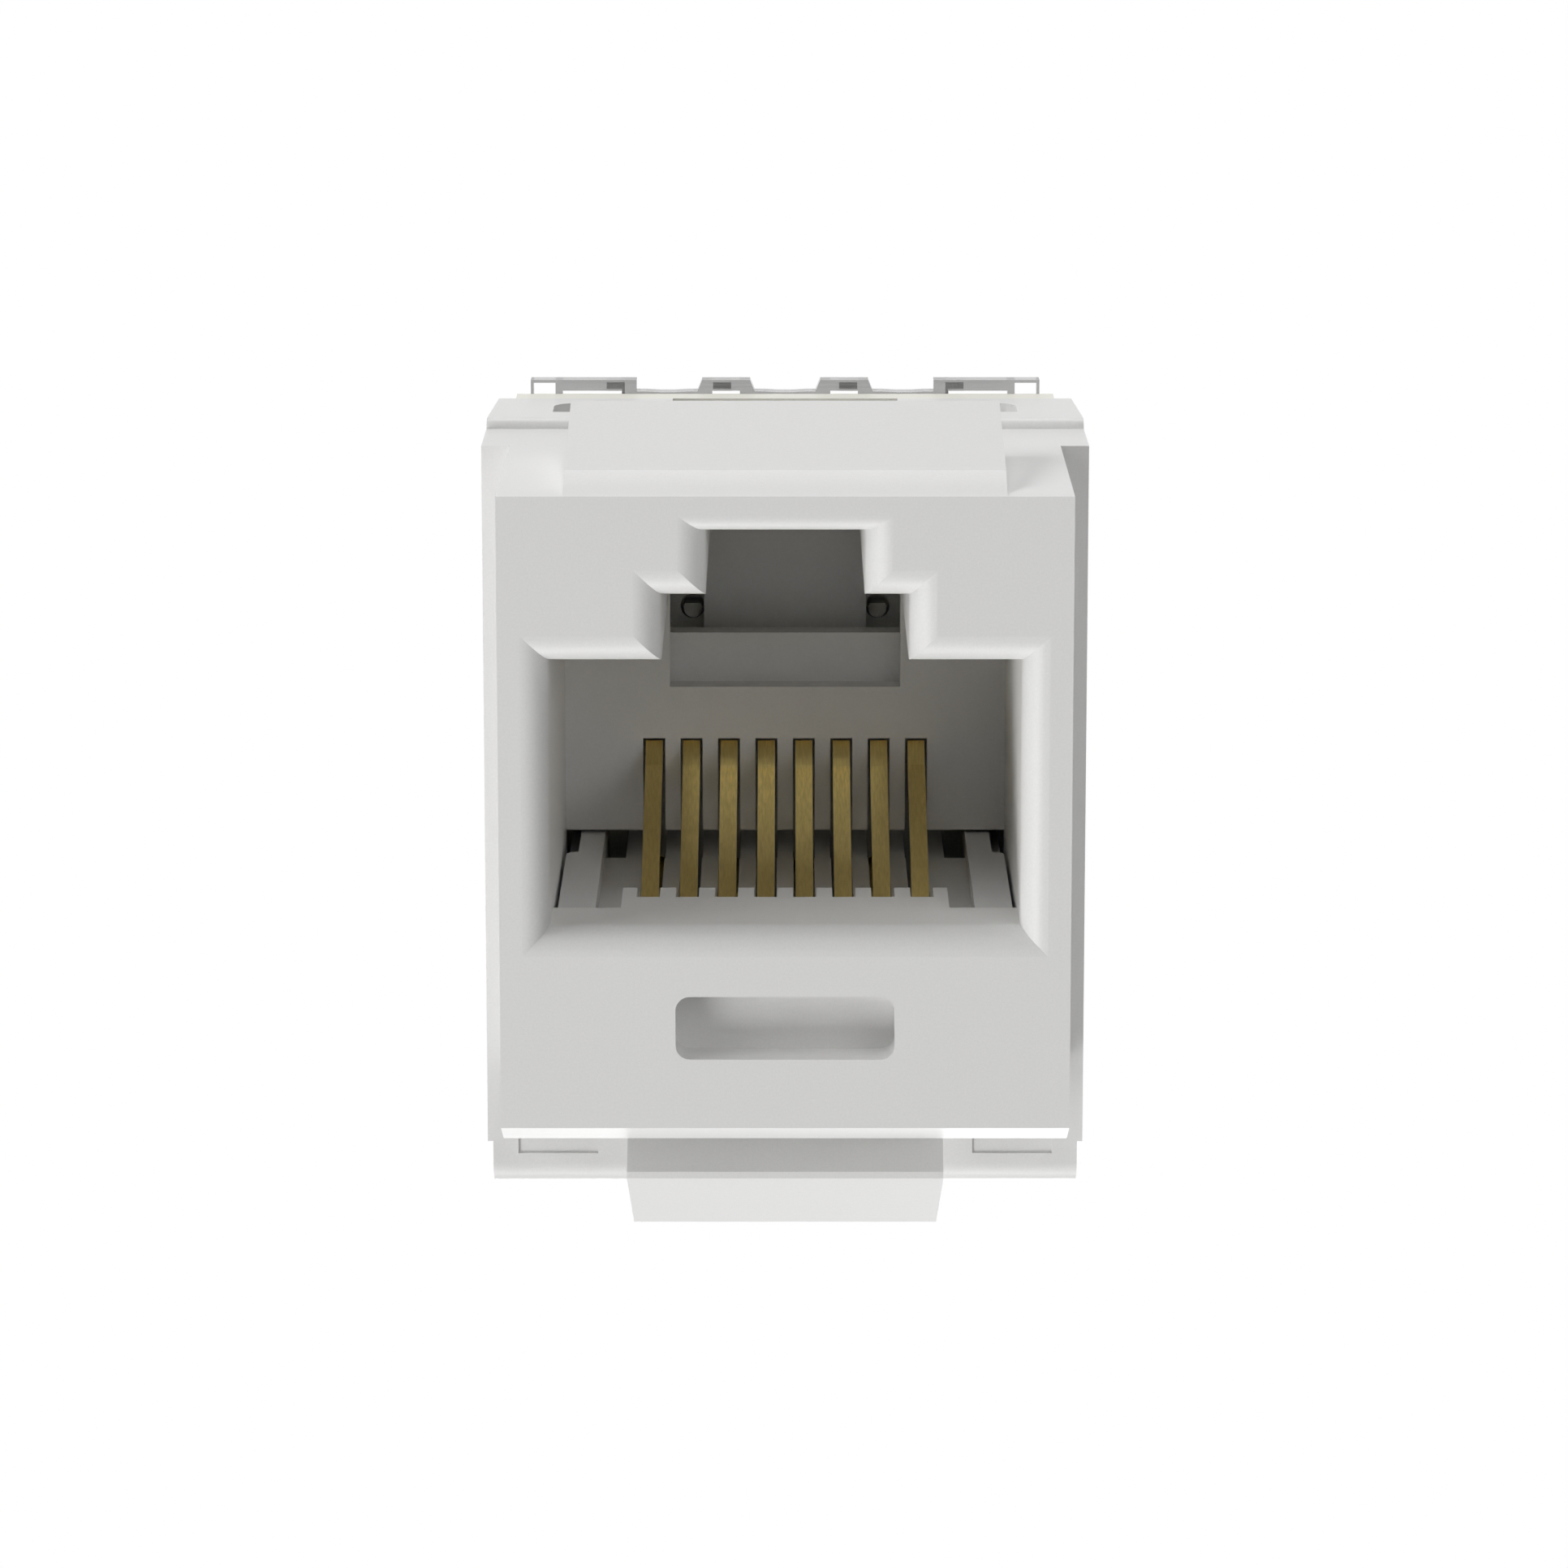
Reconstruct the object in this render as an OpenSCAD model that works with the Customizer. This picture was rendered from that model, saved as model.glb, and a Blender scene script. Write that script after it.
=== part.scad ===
// Keystone jack: an eight-way modular socket that snaps into a panel or wall plate.
// Millimetres. X runs across the jack, Y from the front face to the cable end, Z up.
// The origin is at mid-height of the front body, on the plane where the panel's back rests.

/* [Front body] */
// Width of the body that passes through the panel
body_w = 14.5; // [13.8:0.1:15.2]
// Height of the body
body_h = 16.95; // [16.5:0.05:18]
// Distance from the front face to the panel seat
seat_depth = 8.5; // [8:0.1:9.5]
// Rise of the lead-in slope under the front face
lead_rise = 0.65; // [0.2:0.05:0.9]
// Length of the lead-in slope
lead_run = 1.45; // [0.5:0.05:1.8]
// Thickness of the wall under the contact carrier
base_t = 1.0; // [0.7:0.1:1.2]
// Thickness of the wall behind the label recess and in front of the carrier
front_wall_t = 2.0; // [1.6:0.1:2.3]

/* [Panel ears and rear shell] */
// Width across the panel ears and the front of the shell
flange_w = 16.0; // [15.6:0.1:17]
// Height of the panel ears
ear_h = 18.9; // [17.5:0.1:20]
// Distance from the panel seat back to the shell
shell_setback = 3.05; // [2.6:0.05:3.4]
// Length of the shell
shell_len = 3.85; // [3.6:0.05:4.6]
// Height of the shell
shell_h = 21.2; // [20.6:0.1:22]
// Rise of the shell above the front body
shell_rise = 0.27; // [0.1:0.01:0.6]
// Draw-in of each shell side at its back end
shell_taper = 0.17; // [0:0.01:0.3]
// Radius of the shell's top front edge
shell_top_r = 0.25; // [0.05:0.01:0.6]
// Radius of the shell's bottom front edge
shell_bottom_r = 0.6; // [0.1:0.05:1]
// Thickness of the shell's sides at the hollow in its back
shell_side_t = 1.4; // [1.2:0.05:1.5]
// Thickness of the shell's roof and floor at the hollow
shell_wall_t = 1.2; // [1:0.05:1.5]

/* [Snap latch and hook] */
// Width of the snap latch on top
latch_w = 11.15; // [8:0.05:12]
// Gap between the latch tip and the panel seat
latch_panel_gap = 1.6; // [1.2:0.1:2]
// Rise of the latch tip above the body
latch_rise = 1.43; // [1:0.01:2]
// Distance of the latch crease behind the front face
crease_run = 1.6; // [1:0.1:2.5]
// Rise of the latch crease above the body
crease_rise = 0.44; // [0.3:0.01:0.6]
// Thickness of the latch arm
latch_t = 0.85; // [0.7:0.05:1]
// Width of the hook's nose
hook_w = 8.27; // [6:0.01:10]
// Narrowing of each side of the hook from its nose to its catch
hook_draft = 0.1; // [0:0.01:0.3]
// Distance of the hook's nose behind the front face
nose_run = 3.5; // [3:0.1:4.5]
// Drop of the hook's nose below the body
nose_drop = 1.45; // [1.2:0.05:1.8]
// Height of the blunt end of the nose
nose_t = 0.18; // [0.1:0.01:0.4]
// Gap between the hook arm and the body above it
hook_gap = 0.6; // [0.4:0.05:0.8]
// Drop of the hook's catch below the body
catch_drop = 3.75; // [3.3:0.05:4.2]
// Drop of the underside of the hook arm below the body
arm_drop = 2.25; // [1.9:0.05:2.6]
// Slope of the face that runs up and back from the nose
nose_angle = 36; // [25:1:50]

/* [Plug port] */
// Width of the plug port
port_w = 11.94; // [11.7:0.01:12.2]
// Height of the plug port
port_h = 6.86; // [6.7:0.01:7]
// Distance from the top of the body to the port's ceiling
port_drop = 4.25; // [3.9:0.05:4.5]
// Depth of the port to its back wall
port_depth = 12.17; // [11.9:0.01:12.6]
// Thickness of the back wall
port_wall_t = 0.8; // [0.6:0.05:1]
// Width of the channel for the plug's tab
tab_w = 6.24; // [5.8:0.02:6.6]
// Height of the tab channel above the port's ceiling
tab_h = 1.68; // [1.4:0.02:1.8]
// Width of the narrow channel above that
key_w = 4.0; // [3.6:0.02:4.4]
// Height of the narrow channel
key_h = 1.68; // [1.4:0.02:1.8]
// Radius of the port's front edges
port_edge_r = 0.7; // [0.2:0.05:0.8]
// Radius of the front edge over the narrow channel
key_edge_r = 0.4; // [0.1:0.05:0.5]
// Drop of the window in the back wall below the port's ceiling
window_drop = 2.9; // [2.4:0.05:3.4]
// Drop of the ledge behind that window below the port's ceiling
ledge_drop = 1.55; // [1.2:0.05:2]
// Thickness of the ledge behind that window
ledge_t = 0.8; // [0.5:0.05:1]
// Margin of the ledge beyond each side of the window
ledge_margin = 0.6; // [0.3:0.05:1]
// Width of the rib that backs up the circuit board behind the window
board_rib_w = 4.45; // [3.8:0.05:4.5]
// Thickness of that rib
board_rib_t = 0.4; // [0.3:0.05:1]
// Thickness of the port's floor
floor_t = 0.75; // [0.6:0.05:0.9]
// Length of the floor at its middle
comb_len = 4.92; // [4.4:0.02:5.2]
// Length of the slots in the end of the floor
comb_slot_len = 1.1; // [0.8:0.05:1.3]
// Length of the floor at its two sides
floor_side_len = 2.55; // [2.4:0.05:3]
// Margin of the floor and carrier outside the outer contacts
comb_margin = 0.165; // [0.1:0.005:0.2]

/* [Recesses] */
// Width of the label recess
label_w = 5.58; // [4:0.02:8]
// Height of the label recess
label_h = 1.64; // [1.2:0.02:2]
// Corner radius of the label recess
label_r = 0.37; // [0.1:0.01:0.5]
// Depth of the label recess
label_depth = 1.2; // [0.5:0.05:1.3]
// Distance from the top of the body to the middle of the label recess
label_drop = 13.68; // [13.4:0.02:14]
// Width of the pocket across the top of the shell
roof_slot_w = 12.54; // [10:0.02:13]
// Length of that pocket
roof_slot_len = 1.65; // [1:0.05:1.9]
// Distance of that pocket behind the front of the shell
roof_slot_setback = 1.3; // [1:0.05:1.5]
// Corner radius at the back of that pocket
roof_slot_r = 0.6; // [0.2:0.05:0.8]
// Depth of that pocket
roof_slot_depth = 0.9; // [0.4:0.05:0.9]
// Width of the notch in the shell's top back edge
roof_notch_w = 6.14; // [4:0.02:8]
// Length of that notch
roof_notch_len = 0.5; // [0.2:0.05:0.6]
// Width of each pocket in the shell's front under the body
foot_pocket_w = 2.18; // [1.6:0.02:2.4]
// Height of each pocket below the body
foot_pocket_h = 3.1; // [2.5:0.05:3.3]
// Depth of each pocket
foot_pocket_depth = 0.06; // [0.05:0.01:0.4]
// Distance from each pocket to the middle of the jack
foot_pocket_inset = 5.13; // [4.9:0.01:5.4]

/* [Contacts] */
// Number of contacts
contact_count = 8; // [8]
// Pitch of the contacts
contact_pitch = 1.016; // [0.98:0.002:1.03]
// Width of a contact
contact_w = 0.46; // [0.36:0.01:0.5]
// Thickness of a contact
contact_t = 0.3; // [0.2:0.01:0.35]
// Width of the slots that guide the contacts
guide_slot_w = 0.6; // [0.58:0.01:0.66]
// Height of a contact's bend above the port's floor
contact_rise = 1.79; // [1.5:0.01:2]
// Slope of a contact where it meets the plug
contact_angle = 22.25; // [20:0.25:24]
// Height of the contact's straight end
contact_end_rise = 0.55; // [0.4:0.01:0.6]
// Depth of that end in its guide slot
contact_end_sink = 0.2; // [0.1:0.05:0.4]
// Distance of the contact's upper bend in front of the back wall
bend_setback = 0.5; // [0.4:0.05:0.7]
// Distance of the contacts' front bend behind the front face
contact_front = 5.0; // [4.7:0.05:5.2]
// Drop of the upper row of contact legs below the port's floor
upper_leg_drop = 1.8; // [1.7:0.05:2]
// Drop of the lower row of contact legs below the port's floor
lower_leg_drop = 3.0; // [2.8:0.05:3.2]
// Length of a contact leg behind the circuit board
leg_tail = 0.45; // [0.2:0.05:0.5]

/* [Contact carrier] */
// Gap between the carrier's middle and each side arm
arm_gap = 0.67; // [0.5:0.01:0.8]
// Width by which each arm narrows towards the back
arm_step = 0.32; // [0.1:0.01:0.4]
// Distance of that step in front of the back wall
arm_step_run = 2.4; // [1.5:0.05:3]
// Radius of the outer corner at that step
arm_corner_r = 0.3; // [0.1:0.05:0.3]
// Drop of the shelf beside the narrow end of each arm
arm_shelf_drop = 0.6; // [0.4:0.05:0.8]
// Drop of the carrier's middle, and of the webs beside it, below the port's floor
middle_drop = 0.7; // [0.3:0.05:0.9]
// Distance of the end of those webs in front of the back wall
web_setback = 0.4; // [0.2:0.05:1]
// Height of the plate that joins the arms under the middle
carrier_plate_t = 0.7; // [0.5:0.05:0.7]

/* [Circuit board] */
// Thickness of the circuit board
board_t = 0.9; // [0.8:0.05:1]
// Margin of the wire block round the board
board_margin = 0.5; // [0.4:0.05:0.6]
// Depth to which the blade pins enter the board
pin_sink = 0.5; // [0.3:0.05:0.6]
// Radius of the plated holes for the contact legs
leg_hole_r = 0.36; // [0.34:0.01:0.4]
// Radius of the locating pegs that pass through the board
peg_r = 0.25; // [0.2:0.01:0.3]
// Clearance round each locating peg
peg_clearance = 0.09; // [0.06:0.01:0.12]
// Share of that clearance by which the pegs sit below the middle of their holes
peg_sag = 0.75; // [0:0.05:0.9]
// Height of the flat on top of each peg above its middle
peg_flat = 0.14; // [0.1:0.01:0.2]
// Distance between the two locating pegs
peg_spacing = 5.08; // [4.6:0.02:5.4]
// Drop of the locating pegs below the port's ceiling
peg_drop = 1.25; // [1:0.01:1.4]
// Reach of the locating pegs in front of the board
peg_reach = 0; // [0:0.05:0.3]

/* [Wire block] */
// Inset of the wire block's flange from each side of the shell
block_flange_inset = 0.63; // [0.4:0.01:0.7]
// Thickness of the wire block's flange
block_flange_t = 0.9; // [0.8:0.05:1.1]
// Height of the wire block behind its flange
block_h = 15.8; // [15.2:0.1:16]
// Length of the wire block behind its flange
block_len = 9.7; // [9:0.1:10.5]
// Thickness of the wire block's base
block_base_t = 2.1; // [1.8:0.1:2.5]
// Height of each row of wire slots
row_h = 4.3; // [4:0.05:4.6]
// Distance from the outer wire slots to the sides of the block
row_end = 1.175; // [1.1:0.005:1.3]
// Width of a wire slot
wire_slot_w = 0.9; // [0.7:0.05:1]
// Depth of a wire slot
wire_slot_depth = 6.0; // [5:0.1:6.5]
// Lead-in at the mouth of each wire slot
wire_lead = 0.35; // [0.1:0.05:0.5]
// Length of the block's side keys in the housing
key_len = 2.0; // [1.5:0.1:2.2]
// Height of the side keys
side_key_h = 4.0; // [3:0.1:6]
// Thickness of the side keys
side_key_t = 0.45; // [0.35:0.05:0.5]

/* [Wire blades] */
// Width of a wire blade
blade_w = 2.0; // [1.7:0.05:2.2]
// Thickness of a wire blade
blade_t = 0.4; // [0.3:0.02:0.5]
// Width of the slit that grips the wire
slit_w = 0.3; // [0.2:0.02:0.4]
// Depth of that slit
slit_depth = 4.6; // [4:0.1:5]
// Depth of a blade's tip below the end of the block
blade_sink = 0.8; // [0.5:0.05:1.2]
// Width of the pin that joins a blade to the board
blade_pin_w = 0.5; // [0.4:0.02:0.5]

/* [Wire cap] */
// Width of the wire cap
cap_w = 14.0; // [13.9:0.02:14.6]
// Thickness of the cap's roof and floor behind its lips
cap_roof_t = 0.95; // [0.8:0.05:1.1]
// Thickness of the cap's walls
cap_wall_t = 0.8; // [0.6:0.05:0.8]
// Thickness of the cap's end wall
cap_end_t = 1.2; // [0.8:0.05:1.6]
// Length of the cap's lips
lip_len = 0.55; // [0.4:0.05:0.8]
// Rise of the cap's upper lip above the shell
lip_rise = 0.37; // [0.2:0.01:0.5]
// Length of the cap's lower lip
lower_lip_len = 1.1; // [0.6:0.05:1.4]
// Drop of the cap's lower lip below the middle of the shell
lower_lip_drop = 10.2; // [9.6:0.1:10.3]
// Width of the raised pieces of the upper lip over the wire slots
bump_w = 1.58; // [1.3:0.02:1.8]
// Slant of the sides of the raised pieces
bump_slant = 0.13; // [0:0.01:0.2]
// Depth of the notches between the raised pieces
lip_notch_depth = 0.32; // [0.2:0.01:0.34]
// Radius of the bottom of the notches
lip_notch_r = 7; // [5:0.5:12]
// Thickness of the strip left under each notch
lip_strip_t = 0.08; // [0.05:0.01:0.12]
// Height of the raised pieces above their windows
lip_beam_t = 0.3; // [0.2:0.01:0.35]
// Height of the windows in the upper lip
lip_window_h = 0.6; // [0.4:0.05:0.8]
// Width of the window under each raised piece
lip_window_w = 0.76; // [0.5:0.02:0.9]
// Width of the posts beside those windows
lip_post_w = 0.2; // [0.1:0.01:0.3]
// Width of the window in each end of the upper lip
lip_end_window_w = 0.6; // [0.4:0.02:0.8]
// Thickness of the upper lip round its end windows
lip_end_t = 0.08; // [0.06:0.01:0.15]
// Width of the grooves inside the raised pieces
lip_groove_w = 0.5; // [0.3:0.02:0.6]
// Shift of the inner grooves away from the middle of their raised pieces
inner_groove_shift = 0.11; // [0:0.01:0.15]
// Shift of the outer grooves towards the middle of the jack
outer_groove_shift = 0.21; // [0:0.01:0.25]
// Thickness of the raised pieces round their grooves
lip_skin_t = 0.16; // [0.1:0.01:0.2]
// Radius of the cable entry
cable_r = 3.5; // [2.5:0.05:4]
// Length of the fingers that push the wires home
finger_len = 1.3; // [0.8:0.05:1.4]
// Length of travel that frees the cap
cap_travel = 12; // [11:0.5:14]

/* [Clearances] */
// Clearance between parts that slide together
fit = 0.05; // [0.02:0.01:0.08]
// Gap at each end face that must not bind
end_gap = 0.1; // [0.05:0.01:0.15]
// Clearance between the wire cap and the wire block
cap_fit = 0.15; // [0.1:0.01:0.2]

/* [Hidden] */
$fn = 64;
cut = 1;

// Levels of the front body, the ears and the shell
face_y = -seat_depth;
top_z = body_h / 2;
bottom_z = -body_h / 2;
shell_y = shell_setback;
shell_end = shell_y + shell_len;
shell_top = top_z + shell_rise;
shell_bottom = shell_top - shell_h;
shell_mid_z = (shell_top + shell_bottom) / 2;

// Levels of the plug port
port_top_z = top_z - port_drop;
floor_z = port_top_z - port_h;
floor_under = floor_z - floor_t;
tab_top_z = port_top_z + tab_h;
key_top_z = tab_top_z + key_h;
wall_y = face_y + port_depth;
wall_back = wall_y + port_wall_t;
window_z = port_top_z - window_drop;

// Hollow behind the back wall, and the space under the floor
hollow_w = flange_w - 2 * shell_side_t;
hollow_top = shell_top - shell_wall_t;
hollow_bottom = shell_bottom + shell_wall_t;
cavity_z = bottom_z + base_t;
comb_w = contact_count * contact_pitch + 2 * comb_margin;

// Wire cap and the wire block inside it
cap_inner_w = cap_w - 2 * cap_wall_t;
cap_inner_h = block_h + 2 * cap_fit;
cap_h = cap_inner_h + 2 * cap_roof_t;
block_w = cap_inner_w - 2 * cap_fit;
row_count = contact_count / 2;
wire_pitch = (block_w - 2 * row_end) / (row_count - 1);

// Circuit board
board_y = shell_end + fit;
board_back = board_y + board_t;
board_w = block_w - 2 * board_margin;
board_h = block_h - 2 * board_margin;
peg_z = port_top_z - peg_drop;
peg_y = board_y - peg_reach;

// Contacts: the sloping reach, the front bend and the leg
bend_y = wall_y - bend_setback;
bend_z = floor_z + contact_rise;
contact_end_y = wall_y + contact_end_sink;
guide_top_z = bend_z + contact_end_rise + contact_t / 2 + fit;
contact_front_y = face_y + contact_front;
slope_z = bend_z - (bend_y - contact_front_y) * tan(contact_angle);

// Wire block and blades
block_flange_w = flange_w - 2 * block_flange_inset;
block_y = shell_end + block_flange_t;
block_end = block_y + block_len;
row_offset = (block_h - row_h) / 2;
blade_y = block_y + block_base_t * 0.6;
blade_end = block_end - blade_sink;
side_key_x = hollow_w / 2 + fit;

// Wire cap
cap_y = block_y + end_gap;
cap_inner_end = block_end + end_gap;
cap_end = cap_inner_end + cap_end_t;
lip_top = shell_top + lip_rise;
lip_bottom = shell_mid_z - lower_lip_drop;

function contact_x(i) = (i - (contact_count + 1) / 2) * contact_pitch;
function leg_z(i) = floor_z - (i % 2 == 0 ? lower_leg_drop : upper_leg_drop);
function front_bend_r(i) =
    (slope_z - leg_z(i)) / (1 + 1 / cos(contact_angle) - tan(contact_angle));

// Wire blades: the first half of them along the upper row, the rest along the lower row
function blade_x(i) = ((i - 1) % row_count - (row_count - 1) / 2) * wire_pitch;
function blade_z(i) = shell_mid_z + (i <= row_count ? row_offset : -row_offset);

// A box centred on the middle plane, between two Y and two Z levels
module block(w, y0, y1, z0, z1) {
    translate([-w / 2, y0, z0]) cube([w, y1 - y0, z1 - z0]);
}

// A box between two X levels, and its mirror image
module side_blocks(x0, x1, y0, y1, z0, z1) {
    for (side = [0, 1])
        mirror([side, 0, 0]) translate([x0, y0, z0]) cube([x1 - x0, y1 - y0, z1 - z0]);
}

// A flat shape drawn in Y and Z, given a width along X
module side_profile(w) {
    translate([-w / 2, 0, 0]) rotate([90, 0, 90]) linear_extrude(w) children();
}

// A square with its corner at a point, minus the round that stays
module corner_round(y, z, dy, dz, r) {
    difference() {
        translate([dy > 0 ? y - cut : y - r, dz > 0 ? z - cut : z - r]) square(r + cut);
        translate([y + dy * r, z + dz * r]) circle(r);
    }
}

// The mouth of a slot that flares to the front face with rounded edges
module flared_mouth(half_low, half_high, r_low, r_high) {
    difference() {
        translate([-half_low - r_low, -cut])
            square([half_low + half_high + r_low + r_high, cut + max(r_low, r_high)]);
        translate([-half_low - r_low, r_low]) circle(r_low);
        translate([half_high + r_high, r_high]) circle(r_high);
        translate([-half_low - r_low - cut, r_low]) square([r_low + cut, cut]);
        translate([half_high, r_high]) square([r_high + cut, cut]);
    }
}

// One rectangular stretch of the port, from in front of the face to its back
module port_stretch(w, z0, z1, r_low, r_high) {
    block(w, face_y - cut, wall_y, z0, z1);
    mid_z = (z0 + z1) / 2;
    half = (z1 - z0) / 2;
    intersection() {
        translate([0, face_y, bottom_z])
            linear_extrude(body_h) flared_mouth(w / 2, w / 2, port_edge_r, port_edge_r);
        translate([-body_w / 2, face_y, mid_z]) rotate([90, 0, 90]) linear_extrude(body_w)
            mirror([1, -1]) flared_mouth(half, half, r_low, r_high);
    }
}

module plug_port() {
    port_stretch(port_w, floor_z, port_top_z, port_edge_r, port_edge_r);
    port_stretch(tab_w, floor_z, tab_top_z, port_edge_r, port_edge_r);
    port_stretch(key_w, floor_z, key_top_z, port_edge_r, key_edge_r);
}

module front_body() {
    side_profile(body_w) polygon([
        [face_y, top_z], [shell_y + cut, top_z], [shell_y + cut, bottom_z],
        [face_y + lead_run, bottom_z], [face_y, bottom_z + lead_rise]]);
    side_blocks(body_w / 2, flange_w / 2, 0, shell_y, top_z - ear_h, top_z);
}

module rear_shell() {
    intersection() {
        translate([0, 0, shell_bottom]) linear_extrude(shell_h) polygon([
            [-flange_w / 2, shell_y], [flange_w / 2, shell_y],
            [flange_w / 2 - shell_taper, shell_end], [-flange_w / 2 + shell_taper, shell_end]]);
        side_profile(flange_w) difference() {
            translate([shell_y, shell_bottom]) square([shell_len, shell_h]);
            corner_round(shell_y, shell_top, 1, -1, shell_top_r);
            corner_round(shell_y, shell_bottom, 1, 1, shell_bottom_r);
        }
    }
}

// Springy latch: a hollow-faced ramp, then a straight arm that stands clear of the body
module snap_latch() {
    tip_y = -latch_panel_gap;
    crease_y = face_y + crease_run;
    crease_z = top_z + crease_rise;
    tip_z = top_z + latch_rise;
    slope = (tip_z - crease_z) / (tip_y - crease_y);
    root_y = crease_y + (latch_t - crease_rise) / slope;
    ramp_r = (pow(crease_run, 2) + pow(crease_rise, 2)) / (2 * crease_rise);
    side_profile(latch_w) difference() {
        polygon([
            [face_y, top_z - latch_t], [face_y, crease_z], [crease_y, crease_z], [tip_y, tip_z],
            [tip_y, tip_z - latch_t], [root_y, top_z], [root_y, top_z - latch_t]]);
        translate([face_y - fit, top_z + ramp_r]) circle(ramp_r, $fn = 256);
    }
}

// Stout hook under the body, carried by the shell
module panel_hook() {
    nose_y = face_y + nose_run;
    nose_z = bottom_z - nose_drop;
    catch_y = -latch_panel_gap;
    catch_z = bottom_z - catch_drop;
    shelf_z = bottom_z - hook_gap;
    shelf_y = nose_y + (shelf_z - nose_z) / tan(nose_angle);
    root_y = shell_y + shell_bottom_r;
    catch_w = hook_w - 2 * hook_draft;
    intersection() {
        side_profile(hook_w + cut) polygon([
            [nose_y, nose_z], [nose_y, nose_z - nose_t], [catch_y, catch_z],
            [catch_y, bottom_z - arm_drop], [root_y, bottom_z - arm_drop],
            [root_y, shelf_z], [shelf_y, shelf_z]]);
        translate([0, root_y + cut, 0]) rotate([90, 0, 0]) linear_extrude(seat_depth * 2)
            polygon([
                [-hook_w / 2, shelf_z + cut], [hook_w / 2, shelf_z + cut],
                [hook_w / 2, nose_z - nose_t], [catch_w / 2, catch_z],
                [-catch_w / 2, catch_z], [-hook_w / 2, nose_z - nose_t]]);
    }
}

module label_recess() {
    label_z = top_z - label_drop;
    straight_w = label_w - 2 * label_r;
    straight_h = label_h - 2 * label_r;
    y0 = face_y - cut;
    y1 = face_y + label_depth;
    block(straight_w, y0, y1, label_z - label_h / 2, label_z + label_h / 2);
    block(label_w, y0, y1, label_z - straight_h / 2, label_z + straight_h / 2);
    for (x = [-straight_w / 2, straight_w / 2], z = [-straight_h / 2, straight_h / 2])
        translate([x, y0, label_z + z]) rotate([-90, 0, 0]) cylinder(h = y1 - y0, r = label_r);
}

module roof_slot() {
    y0 = shell_y + roof_slot_setback;
    y1 = y0 + roof_slot_len;
    z0 = shell_top - roof_slot_depth;
    straight_w = roof_slot_w - 2 * roof_slot_r;
    block(roof_slot_w, y0, y1 - roof_slot_r, z0, shell_top + cut);
    block(straight_w, y0, y1, z0, shell_top + cut);
    for (x = [-straight_w / 2, straight_w / 2])
        translate([x, y1 - roof_slot_r, z0]) cylinder(h = roof_slot_depth + cut, r = roof_slot_r);
}

// Comb slots in the end of the floor and guide slots in the back wall, one pair per contact
module contact_guides() {
    for (i = [1:contact_count]) translate([contact_x(i), 0, 0]) {
        block(guide_slot_w, face_y + comb_len - comb_slot_len, wall_y, floor_under - cut, floor_z + cut);
        block(guide_slot_w, wall_y - cut, wall_back + cut, floor_under, guide_top_z);
    }
}

// Everything cut away inside: window, carrier space, floor openings and the hollow at the back
module housing_hollows() {
    block(tab_w, wall_y - cut, shell_end - cut, window_z, tab_top_z);
    block(key_w, wall_y - cut, wall_back + cut, window_z, key_top_z);
    block(port_w, face_y + front_wall_t, shell_end + cut, cavity_z, floor_under);
    block(port_w, face_y + comb_len, wall_y, floor_under - cut, floor_z + cut);
    side_blocks(comb_w / 2, port_w / 2, face_y + floor_side_len, wall_y, floor_under - cut, floor_z + cut);
    block(hollow_w, wall_back, shell_end + cut, hollow_bottom, hollow_top);
    side_blocks(hollow_w / 2 - cut, side_key_x + side_key_t + fit, shell_end - key_len - end_gap,
        shell_end + cut, shell_mid_z - side_key_h / 2 - fit, shell_mid_z + side_key_h / 2 + fit);
    block(port_w, wall_y - cut, wall_back + cut, floor_under - cut, floor_z);
}

// A rib on the back of the port's wall, standing up behind the window
module window_ledge() {
    ledge_w = tab_w + 2 * ledge_margin;
    ledge_top = port_top_z - ledge_drop;
    ledge_bottom = window_z - ledge_t;
    block(ledge_w, wall_back, wall_back + ledge_t, ledge_bottom, ledge_top);
    block(ledge_w, wall_back - port_wall_t / 2, wall_back + ledge_t / 2, ledge_bottom, window_z);
}

// A rib from the roof of the hollow that backs up the middle of the circuit board
module board_rib() {
    y1 = shell_end - end_gap;
    block(board_rib_w, y1 - board_rib_t, y1, window_z, hollow_top + shell_wall_t / 2);
}

module housing() {
    color("gainsboro") union() {
        difference() {
            union() {
                front_body();
                rear_shell();
                snap_latch();
                panel_hook();
            }
            plug_port();
            housing_hollows();
            contact_guides();
            label_recess();
            roof_slot();
            block(roof_notch_w, shell_end - roof_notch_len, shell_end + cut, hollow_top - cut, shell_top + cut);
            side_blocks(foot_pocket_inset, foot_pocket_inset + foot_pocket_w, shell_y - cut,
                shell_y + foot_pocket_depth, bottom_z - foot_pocket_h, bottom_z);
        }
        window_ledge();
        board_rib();
    }
}

// One arm of the carrier, narrowed behind a rounded step
module carrier_arm(x0, x1, y0, y1, z0, z1) {
    step_y = wall_y - arm_step_run;
    inner_x = x1 - arm_step;
    translate([0, 0, z0]) linear_extrude(z1 - z0) {
        translate([x0, y0]) square([inner_x - x0, y1 - y0]);
        translate([x0, y0]) square([x1 - x0, step_y - arm_corner_r - y0]);
        translate([x1 - arm_corner_r, step_y - arm_corner_r]) circle(arm_corner_r);
        translate([x0, y0]) square([x1 - arm_corner_r - x0, step_y - y0]);
    }
    translate([x0, y0, z0]) cube([x1 - x0, y1 - y0, z1 - z0 - arm_shelf_drop]);
}

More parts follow.
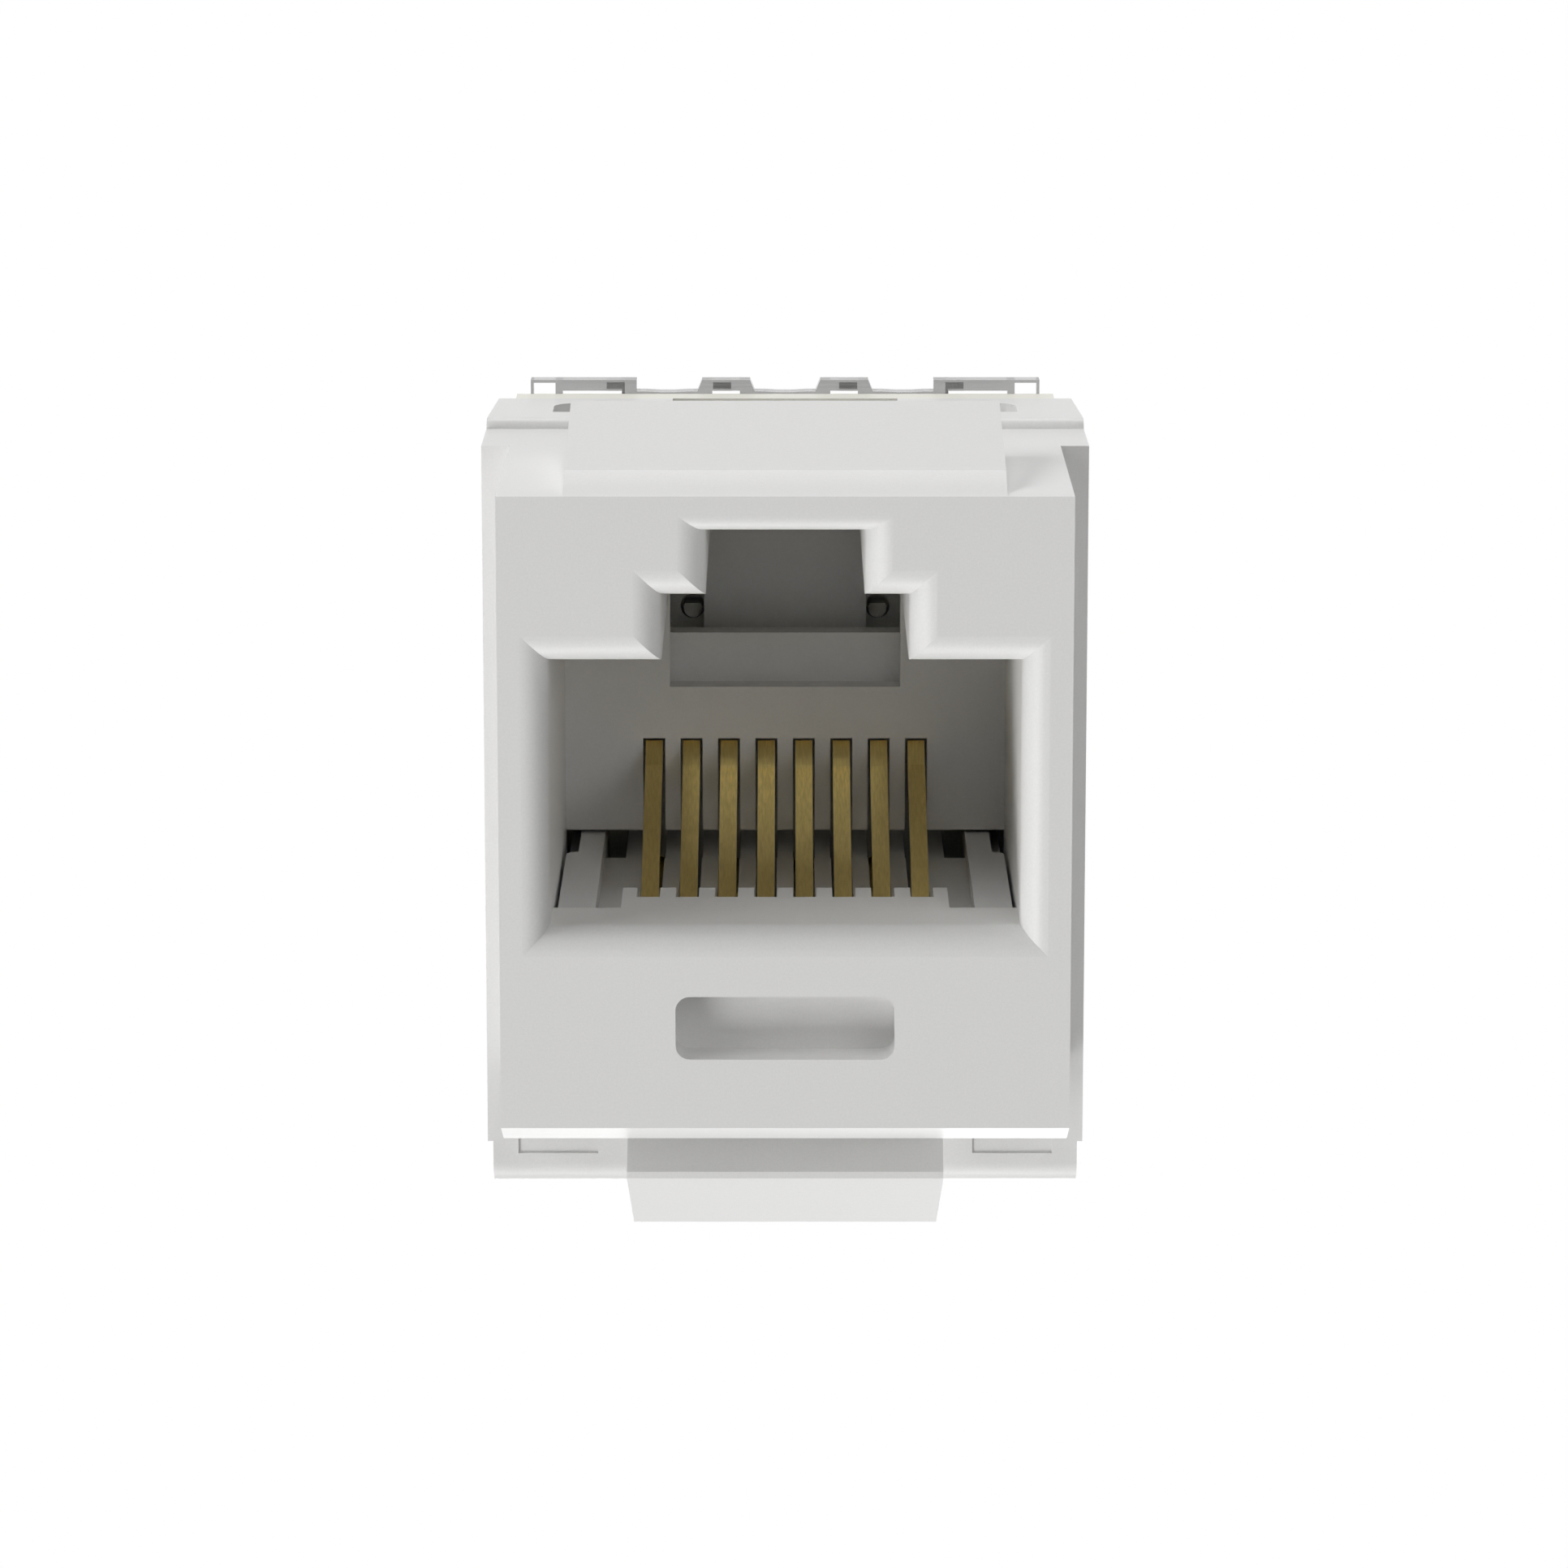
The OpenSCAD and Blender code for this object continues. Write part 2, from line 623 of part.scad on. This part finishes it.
// The carrier slides in from the back, under the port's floor and back wall
module contact_carrier() {
    carrier_y = face_y + comb_len + fit;
    carrier_back = board_y - fit;
    carrier_w = port_w - 2 * end_gap;
    arm_x = comb_w / 2 + arm_gap;
    nose_y = face_y + front_wall_t + fit;
    arm_y = face_y + floor_side_len + fit;
    web_end = wall_y - web_setback;
    under_z = cavity_z + fit;
    arm_top_z = floor_z - end_gap;
    middle_z = floor_z - middle_drop;
    color("whitesmoke") difference() {
        union() {
            block(comb_w + 4 * fit, carrier_y, carrier_back, under_z, middle_z);
            block(carrier_w, nose_y, carrier_back, under_z, under_z + carrier_plate_t);
            side_blocks(comb_w / 2 + fit, arm_x + fit, arm_y, web_end, under_z, middle_z);
            for (side = [0, 1]) mirror([side, 0, 0])
                carrier_arm(arm_x, carrier_w / 2, arm_y, carrier_back, under_z, arm_top_z);
        }
        for (i = [1:contact_count]) translate([contact_x(i), 0, 0]) {
            block(contact_w + 2 * fit, nose_y - cut, carrier_back + cut, leg_z(i) - contact_t / 2, floor_z);
            block(guide_slot_w, web_end, carrier_back + cut, floor_z - upper_leg_drop, floor_z);
        }
    }
}

// A straight stretch of contact strip between two points
module strip(p, q) {
    reach = q - p;
    translate(p) rotate(atan2(reach[1], reach[0]))
        translate([0, -contact_t / 2]) square([norm(reach), contact_t]);
}

// The round bend at the front of a contact, from the sloping reach down to the leg
module front_bend(r) {
    far = 4 * r + contact_t;
    difference() {
        circle(r + contact_t / 2);
        circle(r - contact_t / 2);
        polygon([
            [0, 0], [0, -far], [far, -far], [far, far],
            far * [-sin(contact_angle), cos(contact_angle)]]);
    }
}

module contact(i) {
    r = front_bend_r(i);
    centre = [contact_front_y + r, leg_z(i) + r];
    lap = contact_t / 10;
    slope = [cos(contact_angle), sin(contact_angle)];
    reach_start = centre + r * [-slope[1], slope[0]] - lap * slope;
    bend = [bend_y, bend_z];
    color("goldenrod") translate([contact_x(i), 0, 0]) side_profile(contact_w) {
        strip(bend, [contact_end_y, bend_z + contact_end_rise]);
        translate(bend) circle(contact_t / 2);
        strip(reach_start, bend);
        translate(centre) front_bend(r);
        strip([centre[0] - lap, leg_z(i)], [board_back + leg_tail, leg_z(i)]);
    }
}

module circuit_board() {
    color("lightgray") difference() {
        block(board_w, board_y, board_back, shell_mid_z - board_h / 2, shell_mid_z + board_h / 2);
        for (i = [1:contact_count]) {
            translate([contact_x(i), board_y - cut, leg_z(i)]) rotate([-90, 0, 0])
                cylinder(h = board_t + 2 * cut, r = leg_hole_r);
            translate([blade_x(i), board_back - pin_sink - fit, blade_z(i)]) rotate([-90, 0, 0])
                cylinder(h = pin_sink + fit + cut, r = leg_hole_r);
        }
        for (x = [-peg_spacing / 2, peg_spacing / 2]) translate([x, board_y - cut, peg_z])
            rotate([-90, 0, 0]) cylinder(h = board_t + 2 * cut, r = peg_r + peg_clearance);
    }
}

// Slot for one wire and the narrow cross slot that holds its blade
module wire_slot(i) {
    slot_y = block_end - wire_slot_depth;
    row_z = blade_z(i);
    z0 = row_z - row_h / 2 - cut;
    z1 = row_z + row_h / 2 + cut;
    translate([blade_x(i), 0, 0]) {
        block(wire_slot_w, slot_y, block_end + cut, z0, z1);
        translate([0, 0, z0]) linear_extrude(z1 - z0) polygon([
            [-wire_slot_w / 2, block_end - 2 * wire_lead], [wire_slot_w / 2, block_end - 2 * wire_lead],
            [wire_slot_w / 2 + wire_lead, block_end + cut / 100],
            [-wire_slot_w / 2 - wire_lead, block_end + cut / 100]]);
        block(blade_w + 2 * fit, blade_y, block_end + cut, row_z - blade_t / 2 - fit, row_z + blade_t / 2 + fit);
        block(blade_pin_w + 2 * fit, board_y, blade_y + cut, row_z - blade_t / 2 - fit,
            row_z + blade_t / 2 + fit);
    }
}

// A round peg with a flat on top, from the front of the board into the block's base
module locating_peg() {
    len = board_back + 2 * fit + block_base_t / 4 - peg_y;
    intersection() {
        rotate([-90, 0, 0]) cylinder(h = len, r = peg_r);
        block(3 * peg_r, -cut, len + cut, -2 * peg_r, peg_flat);
    }
}

module wire_block() {
    z0 = shell_mid_z - block_h / 2;
    z1 = shell_mid_z + block_h / 2;
    flange_bottom = hollow_bottom - shell_wall_t / 2;
    legs_low = leg_z(2) - contact_t;
    legs_high = leg_z(1) + contact_t;
    color("ivory") {
        difference() {
            union() {
                block(block_flange_w, shell_end, block_y, flange_bottom, shell_top);
                block(block_w, block_y, block_y + block_base_t, z0, z1);
                block(block_w, block_y, block_end, z0, z0 + row_h);
                block(block_w, block_y, block_end, z1 - row_h, z1);
                side_blocks(side_key_x, side_key_x + side_key_t, shell_end - key_len, block_y,
                    shell_mid_z - side_key_h / 2, shell_mid_z + side_key_h / 2);
            }
            block(board_w + 2 * fit, shell_end - cut, board_back + fit, shell_mid_z - board_h / 2 - fit,
                shell_mid_z + board_h / 2 + fit);
            for (i = [1:contact_count]) wire_slot(i);
            block(comb_w, board_y, board_back + leg_tail + end_gap, legs_low, legs_high);
        }
        for (x = [-peg_spacing / 2, peg_spacing / 2])
            translate([x, peg_y, peg_z - peg_sag * peg_clearance]) locating_peg();
    }
}

// Forked blade: two tines that cut through the wire's insulation, on a pin to the board
module wire_blade(i) {
    tine_lead = (blade_w - slit_w) / 4;
    color("silver") translate([blade_x(i), 0, blade_z(i) - blade_t / 2]) linear_extrude(blade_t) {
        difference() {
            translate([-blade_w / 2, blade_y]) square([blade_w, blade_end - blade_y]);
            translate([-slit_w / 2, blade_end - slit_depth]) square([slit_w, slit_depth + cut]);
            polygon([
                [0, blade_end - 2 * tine_lead - slit_w], [slit_w / 2 + tine_lead, blade_end + cut / 100],
                [-slit_w / 2 - tine_lead, blade_end + cut / 100]]);
        }
        translate([-blade_pin_w / 2, board_back - pin_sink])
            square([blade_pin_w, blade_y - board_back + pin_sink]);
    }
}

// The upper lip: raised pieces over the wire slots, with shallow hollows between them
module upper_lip() {
    notch_z = lip_top - lip_notch_depth;
    low_z = shell_mid_z;
    inner = wire_pitch / 2 - bump_w / 2;
    outer = wire_pitch / 2 + bump_w / 2;
    end = 1.5 * wire_pitch - bump_w / 2;
    half = cap_w / 2;
    right = [
        [inner, notch_z], [inner + bump_slant, lip_top], [outer - bump_slant, lip_top], [outer, notch_z],
        [end, notch_z], [end, lip_top], [half, lip_top], [half, low_z]];
    left = [for (k = [len(right) - 1:-1:0]) [-right[k][0], right[k][1]]];
    translate([0, cap_y + lip_len, 0]) rotate([90, 0, 0]) linear_extrude(lip_len) polygon(concat(left, right));
}

// Rounded bottoms of the hollows, and the windows through the lip
module lip_openings() {
    notch_z = lip_top - lip_notch_depth;
    strip_z = notch_z - lip_strip_t;
    beam_z = lip_top - lip_beam_t;
    y0 = cap_y - cut;
    y1 = cap_y + lip_len + cut;
    half = cap_w / 2;
    notch_w = wire_pitch - bump_w;
    side_w = notch_w - lip_post_w;
    for (x = [-wire_pitch, 0, wire_pitch]) translate([x, 0, 0]) {
        sag = notch_w * notch_w / (8 * lip_notch_r);
        intersection() {
            block(notch_w, y0, y1, notch_z - cut, notch_z + lip_notch_depth / 2);
            translate([0, y0, notch_z - sag / 2 + lip_notch_r]) rotate([-90, 0, 0])
                cylinder(h = y1 - y0, r = lip_notch_r, $fn = 256);
        }
        block(side_w, y0, y1, strip_z - lip_window_h, strip_z);
    }
    for (x = [-wire_pitch / 2, wire_pitch / 2]) translate([x, 0, 0])
        block(lip_window_w, y0, y1, beam_z - lip_window_h, beam_z);
    end_x = half - lip_end_t - lip_end_window_w;
    side_blocks(1.5 * wire_pitch - lip_window_w / 2, end_x - lip_post_w, y0, y1, beam_z - lip_window_h, beam_z);
    side_blocks(end_x, half - lip_end_t, y0, y1, beam_z - lip_window_h, lip_top - lip_end_t);
}

// Narrow grooves in the raised pieces, open to the windows below them
module lip_grooves() {
    z0 = lip_top - lip_beam_t - lip_window_h / 2;
    for (x = [wire_pitch / 2 + inner_groove_shift, 1.5 * wire_pitch - outer_groove_shift])
        side_blocks(x - lip_groove_w / 2, x + lip_groove_w / 2, cap_y + lip_skin_t,
            cap_y + lip_len - lip_skin_t, z0, lip_top - lip_skin_t / 2);
}

module wire_cap() {
    finger_y = cap_inner_end - finger_len;
    finger_w = wire_slot_w - 2 * cap_fit;
    color("lightcyan", 0.4) {
        difference() {
            union() {
                block(cap_w, cap_y, cap_end, shell_mid_z - cap_h / 2, shell_mid_z + cap_h / 2);
                block(cap_w, cap_y, cap_y + lower_lip_len, lip_bottom, shell_mid_z);
                upper_lip();
            }
            block(cap_inner_w, cap_y - cut, cap_inner_end, shell_mid_z - cap_inner_h / 2,
                shell_mid_z + cap_inner_h / 2);
            translate([0, cap_inner_end - cut, shell_mid_z]) rotate([-90, 0, 0])
                cylinder(h = cap_end_t + 2 * cut, r = cable_r);
            lip_openings();
            lip_grooves();
        }
        for (i = [1:contact_count], side = [-1, 1])
            translate([blade_x(i), 0, blade_z(i) + side * (row_h / 4 + blade_t / 4)])
                block(finger_w, finger_y, cap_inner_end + cut / 2, -row_h / 8, row_h / 8);
    }
}

housing();
contact_carrier();
for (i = [1:contact_count]) contact(i);
circuit_board();
wire_block();
for (i = [1:contact_count]) wire_blade(i);
wire_cap();
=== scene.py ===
"""Keystone jack: camera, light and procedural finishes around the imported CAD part."""
import math

import bpy
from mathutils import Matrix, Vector

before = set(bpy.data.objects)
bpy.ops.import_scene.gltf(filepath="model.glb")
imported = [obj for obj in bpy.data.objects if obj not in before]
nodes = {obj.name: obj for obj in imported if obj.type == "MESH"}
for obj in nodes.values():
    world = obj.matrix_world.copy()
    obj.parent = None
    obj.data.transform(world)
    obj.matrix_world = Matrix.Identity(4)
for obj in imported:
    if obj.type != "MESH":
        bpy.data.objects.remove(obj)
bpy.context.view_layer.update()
scene = bpy.context.scene
scene.view_settings.view_transform = "Standard"

MM = 0.001
FULL_WHITE = (1.0, 1.0, 1.0, 1.0)
FULL_BLACK = (0.0, 0.0, 0.0, 1.0)

# Camera, solved from the photograph's edges: places in mm, clip distances in metres
PHOTO_WIDTH_PIXELS = 1932.0
FOCAL_PIXELS = 7780.0
SENSOR_WIDTH = 36.0
FACE_TOP = Vector((0.0, -8.5, 8.475))
CAMERA_FROM_FACE_TOP = Vector((-0.03, -156.04, 24.84))
LEVEL_VIEW = math.radians(90.0)
LOOK_DOWN = math.radians(11.65)
CLIP_START = 0.01
CLIP_END = 20.0

# Soft lamps: the grey that a white matte face turned to the lamp shows, and the direction to the lamp
LAMPS = {
    "side": (0.22, (-0.8, -0.3, 0.5)),
    "high": (0.08, (0.2, -0.5, 0.9)),
    "top": (0.26, (0.0, 0.3, 1.0)),
    "left_high": (0.24, (-0.8, 0.15, 0.6)),
    "below": (0.22, (0.0, -0.3, -1.0)),
    "low_left": (0.46, (-0.6, -0.6, -0.5)),
    "right_front": (0.105, (0.6, -0.7, 0.2)),
    "front_high": (0.045, (0.0, -0.8, 0.6)),
    "right_back": (0.2, (0.9, 0.35, -0.1)),
    "back": (0.3, (0.2, 0.9, -0.4)),
}

# Every lamp's size, distance and aim, in metres
LAMP_SIZE = 0.6
LAMP_DISTANCE = 1.0
LAMP_AIM = Vector((0.0, 0.0, -0.002))
WATTS_PER_LEVEL = 4.0 * math.pi * (LAMP_DISTANCE ** 2 + (LAMP_SIZE / 2.0) ** 2)

# Floor, in metres
FLOOR_SIZE = 6.0
FLOOR_PLACE = (0.0, 0.0, -1.3)
FLOOR_COLOUR = (0.85, 0.85, 0.85, 1.0)

# Noise: cells per metre, and the span that holds most of a noise's values
GRAIN_DETAIL = 3.0
FINE_GRAIN = 16000.0
RELIEF_GRAIN = 9000.0
PLATING_GRAIN = 2500.0
CLOUD_GRAIN = 800.0
NOISE_LOW = 0.3
NOISE_HIGH = 0.7

# Moulded plastic
PLASTIC_IOR = 1.5
PLASTIC_SPECULAR = 0.5
RELIEF_STRENGTH = 0.1
RELIEF_DEPTH = 0.02 * MM

# Tinned metal, as shares of its colour
PLATING_DARK = 0.93
PLATING_LIGHT = 1.05

# Gold springs: a painted sheen, paler gold with a rougher finish that stands in for a reflection,
# runs along the strip in Y and across the row in X, both in mm
STREAK_SCALE = (22000.0, 2500.0, 2500.0)
STREAK_DETAIL = 2.0
STREAK_DARK = 0.85
SHEEN_START = -1.7
SHEEN_END = 3.4
SHEEN_PEAK = 0.9
ROW_FULL_SHEEN = 2.0
ROW_NO_SHEEN = 3.4
ROUGH_PLAIN = 0.42
ROUGH_SHEEN = 0.95

# Clear plastic: a darker grey fades in towards the top between two heights, in mm
CLEAR_TINT = (0.85, 0.86, 0.855)
TOP_GREY = (0.38, 0.38, 0.375)
GREY_FROM = 7.4
GREY_TO = 8.6
CLOUD_DARK = 0.92
CLEAR_IOR = 1.58
CLEAR_ROUGHNESS = 0.04


# Stage
def add_camera():
    data = bpy.data.cameras.new("camera")
    data.sensor_width = SENSOR_WIDTH
    data.lens = FOCAL_PIXELS / PHOTO_WIDTH_PIXELS * SENSOR_WIDTH
    data.clip_start = CLIP_START
    data.clip_end = CLIP_END
    camera = bpy.data.objects.new("camera", data)
    scene.collection.objects.link(camera)
    camera.location = (FACE_TOP + CAMERA_FROM_FACE_TOP) * MM
    camera.rotation_euler = (LEVEL_VIEW - LOOK_DOWN, 0.0, 0.0)
    scene.camera = camera


def add_lamps():
    for name, (level, direction) in LAMPS.items():
        data = bpy.data.lights.new(name, "AREA")
        data.shape = "DISK"
        data.size = LAMP_SIZE
        data.energy = level * WATTS_PER_LEVEL
        lamp = bpy.data.objects.new(name, data)
        scene.collection.objects.link(lamp)
        lamp.location = LAMP_AIM + Vector(direction).normalized() * LAMP_DISTANCE
        lamp.rotation_euler = (LAMP_AIM - lamp.location).to_track_quat("-Z", "Y").to_euler()
        lamp.visible_camera = False
        lamp.visible_transmission = False


def seen_rays(tree):
    """1 for the rays that see a plain white background: camera, glossy and transmission rays."""
    path = tree.nodes.new("ShaderNodeLightPath")
    direct = tree.nodes.new("ShaderNodeMath")
    direct.operation = "MAXIMUM"
    tree.links.new(path.outputs["Is Camera Ray"], direct.inputs[0])
    tree.links.new(path.outputs["Is Glossy Ray"], direct.inputs[1])
    every = tree.nodes.new("ShaderNodeMath")
    every.operation = "MAXIMUM"
    tree.links.new(direct.outputs[0], every.inputs[0])
    tree.links.new(path.outputs["Is Transmission Ray"], every.inputs[1])
    return every.outputs[0]


def add_world():
    """A white background that gives no light: the lamps alone light the object."""
    world = bpy.data.worlds.new("studio")
    scene.world = world
    world.use_nodes = True
    tree = world.node_tree
    tree.nodes.clear()
    out = tree.nodes.new("ShaderNodeOutputWorld")
    mix = tree.nodes.new("ShaderNodeMixShader")
    unlit = tree.nodes.new("ShaderNodeBackground")
    unlit.inputs["Strength"].default_value = 0.0
    white = tree.nodes.new("ShaderNodeBackground")
    white.inputs["Color"].default_value = FULL_WHITE
    white.inputs["Strength"].default_value = 1.0
    tree.links.new(seen_rays(tree), mix.inputs[0])
    tree.links.new(unlit.outputs[0], mix.inputs[1])
    tree.links.new(white.outputs[0], mix.inputs[2])
    tree.links.new(mix.outputs[0], out.inputs["Surface"])


def floor_material():
    """Pale matte floor that shows as plain white behind the object."""
    mat = bpy.data.materials.new("floor")
    mat.use_nodes = True
    tree = mat.node_tree
    tree.nodes.clear()
    out = tree.nodes.new("ShaderNodeOutputMaterial")
    mix = tree.nodes.new("ShaderNodeMixShader")
    matte = tree.nodes.new("ShaderNodeBsdfDiffuse")
    matte.inputs["Color"].default_value = FLOOR_COLOUR
    white = tree.nodes.new("ShaderNodeEmission")
    white.inputs["Color"].default_value = FULL_WHITE
    white.inputs["Strength"].default_value = 1.0
    tree.links.new(seen_rays(tree), mix.inputs[0])
    tree.links.new(matte.outputs[0], mix.inputs[1])
    tree.links.new(white.outputs[0], mix.inputs[2])
    tree.links.new(mix.outputs[0], out.inputs["Surface"])
    return mat


def add_floor():
    bpy.ops.mesh.primitive_plane_add(size=FLOOR_SIZE, location=FLOOR_PLACE)
    floor = bpy.context.object
    floor.name = "floor"
    floor.data.materials.append(floor_material())


# Finishes
def new_material(name):
    mat = bpy.data.materials.new(name)
    mat.use_nodes = True
    tree = mat.node_tree
    return mat, tree, tree.nodes["Principled BSDF"]


def grain(tree, scale):
    coords = tree.nodes.new("ShaderNodeTexCoord")
    noise = tree.nodes.new("ShaderNodeTexNoise")
    noise.inputs["Scale"].default_value = scale
    noise.inputs["Detail"].default_value = GRAIN_DETAIL
    tree.links.new(coords.outputs["Object"], noise.inputs["Vector"])
    return noise.outputs["Fac"]


def tint(tree, factor, low, high, start=NOISE_LOW, end=NOISE_HIGH):
    """A colour that runs from low to high as the factor runs from start to end."""
    ramp = tree.nodes.new("ShaderNodeValToRGB")
    first, last = ramp.color_ramp.elements
    first.position = start
    first.color = (*low, 1.0)
    last.position = end
    last.color = (*high, 1.0)
    tree.links.new(factor, ramp.inputs["Fac"])
    return ramp.outputs["Color"]


def product(tree, one, other):
    """Two colours multiplied."""
    blend = tree.nodes.new("ShaderNodeVectorMath")
    blend.operation = "MULTIPLY"
    tree.links.new(one, blend.inputs[0])
    tree.links.new(other, blend.inputs[1])
    return blend.outputs["Vector"]


def span(tree, value, start, end):
    """A node that gives 0 to 1 as the value runs from start to end, both in mm."""
    scale = tree.nodes.new("ShaderNodeMapRange")
    scale.inputs["From Min"].default_value = start * MM
    scale.inputs["From Max"].default_value = end * MM
    tree.links.new(value, scale.inputs["Value"])
    return scale


def axes(tree, place):
    split = tree.nodes.new("ShaderNodeSeparateXYZ")
    tree.links.new(place, split.inputs["Vector"])
    return split.outputs


def moulded(name, colour, spread, roughness):
    """Moulded plastic with a fine spark-eroded grain."""
    mat, tree, shader = new_material(name)
    low = [c * (1.0 - spread) for c in colour]
    high = [c * (1.0 + spread) for c in colour]
    tree.links.new(tint(tree, grain(tree, FINE_GRAIN), low, high), shader.inputs["Base Color"])
    shader.inputs["Roughness"].default_value = roughness
    shader.inputs["IOR"].default_value = PLASTIC_IOR
    shader.inputs["Specular IOR Level"].default_value = PLASTIC_SPECULAR
    relief = tree.nodes.new("ShaderNodeBump")
    relief.inputs["Strength"].default_value = RELIEF_STRENGTH
    relief.inputs["Distance"].default_value = RELIEF_DEPTH
    tree.links.new(grain(tree, RELIEF_GRAIN), relief.inputs["Height"])
    tree.links.new(relief.outputs["Normal"], shader.inputs["Normal"])
    return mat


def plated(name, colour, roughness):
    """Plated metal with a faint cloudy grain."""
    mat, tree, shader = new_material(name)
    low = [c * PLATING_DARK for c in colour]
    high = [c * PLATING_LIGHT for c in colour]
    tree.links.new(tint(tree, grain(tree, PLATING_GRAIN), low, high), shader.inputs["Base Color"])
    shader.inputs["Metallic"].default_value = 1.0
    shader.inputs["Roughness"].default_value = roughness
    return mat


def painted_sheen_level(tree, place):
    """Painted sheen from 0 to 1, a reflection painted into the gold: most just below the bend, and
    none on the two outer springs.
    """
    position = axes(tree, place)
    sheen_along = tree.nodes.new("ShaderNodeValToRGB")
    first, last = sheen_along.color_ramp.elements
    first.color = FULL_BLACK
    last.color = FULL_BLACK
    sheen_along.color_ramp.elements.new(SHEEN_PEAK).color = FULL_WHITE
    along = span(tree, position["Y"], SHEEN_START, SHEEN_END)
    tree.links.new(along.outputs["Result"], sheen_along.inputs["Fac"])

    offset = tree.nodes.new("ShaderNodeMath")
    offset.operation = "ABSOLUTE"
    tree.links.new(position["X"], offset.inputs[0])
    sheen_across = span(tree, offset.outputs[0], ROW_FULL_SHEEN, ROW_NO_SHEEN)
    sheen_across.interpolation_type = "SMOOTHSTEP"
    sheen_across.inputs["To Min"].default_value = 1.0
    sheen_across.inputs["To Max"].default_value = 0.0

    level = tree.nodes.new("ShaderNodeMath")
    level.operation = "MULTIPLY"
    tree.links.new(sheen_along.outputs["Color"], level.inputs[0])
    tree.links.new(sheen_across.outputs["Result"], level.inputs[1])
    return level.outputs[0]


def spring_gold(name, plain, sheen_colour):
    """Gold-plated spring: drawn streaks along the strip, and a painted sheen, paler and rougher where
    a reflection is painted in.
    """
    mat, tree, shader = new_material(name)
    coords = tree.nodes.new("ShaderNodeTexCoord")
    stretch = tree.nodes.new("ShaderNodeMapping")
    stretch.inputs["Scale"].default_value = STREAK_SCALE
    tree.links.new(coords.outputs["Object"], stretch.inputs["Vector"])
    noise = tree.nodes.new("ShaderNodeTexNoise")
    noise.inputs["Scale"].default_value = 1.0
    noise.inputs["Detail"].default_value = STREAK_DETAIL
    tree.links.new(stretch.outputs["Vector"], noise.inputs["Vector"])
    streaks = tint(tree, noise.outputs["Fac"], [STREAK_DARK] * 3, [1.0] * 3)

    level = painted_sheen_level(tree, coords.outputs["Object"])
    # Paler gold where the mask is high: a painted sheen, a reflection painted into the colour
    plating = tint(tree, level, plain, sheen_colour, 0.0, 1.0)
    tree.links.new(product(tree, streaks, plating), shader.inputs["Base Color"])
    rough = tree.nodes.new("ShaderNodeMapRange")
    rough.inputs["To Min"].default_value = ROUGH_PLAIN
    rough.inputs["To Max"].default_value = ROUGH_SHEEN
    tree.links.new(level, rough.inputs["Value"])
    tree.links.new(rough.outputs["Result"], shader.inputs["Roughness"])
    shader.inputs["Metallic"].default_value = 1.0
    return mat


def clear(name):
    """Clear plastic, darker grey towards the top of the lip."""
    mat, tree, shader = new_material(name)
    coords = tree.nodes.new("ShaderNodeTexCoord")
    height = span(tree, axes(tree, coords.outputs["Object"])["Z"], GREY_FROM, GREY_TO)
    shade = tint(tree, height.outputs["Result"], CLEAR_TINT, TOP_GREY)
    cloud = tint(tree, grain(tree, CLOUD_GRAIN), [CLOUD_DARK] * 3, [1.0] * 3)
    tree.links.new(product(tree, shade, cloud), shader.inputs["Base Color"])
    shader.inputs["Transmission Weight"].default_value = 1.0
    shader.inputs["IOR"].default_value = CLEAR_IOR
    shader.inputs["Roughness"].default_value = CLEAR_ROUGHNESS
    return mat


WHITE = moulded("white_plastic", colour=(0.785, 0.782, 0.773), spread=0.02, roughness=0.4)
# Carrier grey is painted shade: darker than the housing's white to stand in for the shade deep in the
# port
CARRIER = moulded("carrier_plastic", colour=(0.66, 0.66, 0.655), spread=0.02, roughness=0.5)
IVORY = moulded("ivory_plastic", colour=(0.86, 0.85, 0.775), spread=0.02, roughness=0.5)
BOARD = moulded("board_laminate", colour=(0.62, 0.62, 0.60), spread=0.05, roughness=0.35)
# The paler second gold is a painted sheen, a reflection painted into the plating
GOLD = spring_gold("gold_contact", plain=(0.80, 0.63, 0.245), sheen_colour=(1.0, 0.855, 0.41))
TIN = plated("tinned_blade", colour=(0.78, 0.78, 0.76), roughness=0.3)
CLEAR = clear("clear_plastic")
SINGLE_FINISHES = {
    "housing": WHITE,
    "contact_carrier": CARRIER,
    "circuit_board": BOARD,
    "wire_block": IVORY,
    "wire_cap": CLEAR,
}


def finish_for(node):
    if node in SINGLE_FINISHES:
        return SINGLE_FINISHES[node]
    return TIN if node.startswith("wire_blade") else GOLD


for node, obj in nodes.items():
    obj.data.materials.clear()
    obj.data.materials.append(finish_for(node))

add_camera()
add_lamps()
add_world()
add_floor()
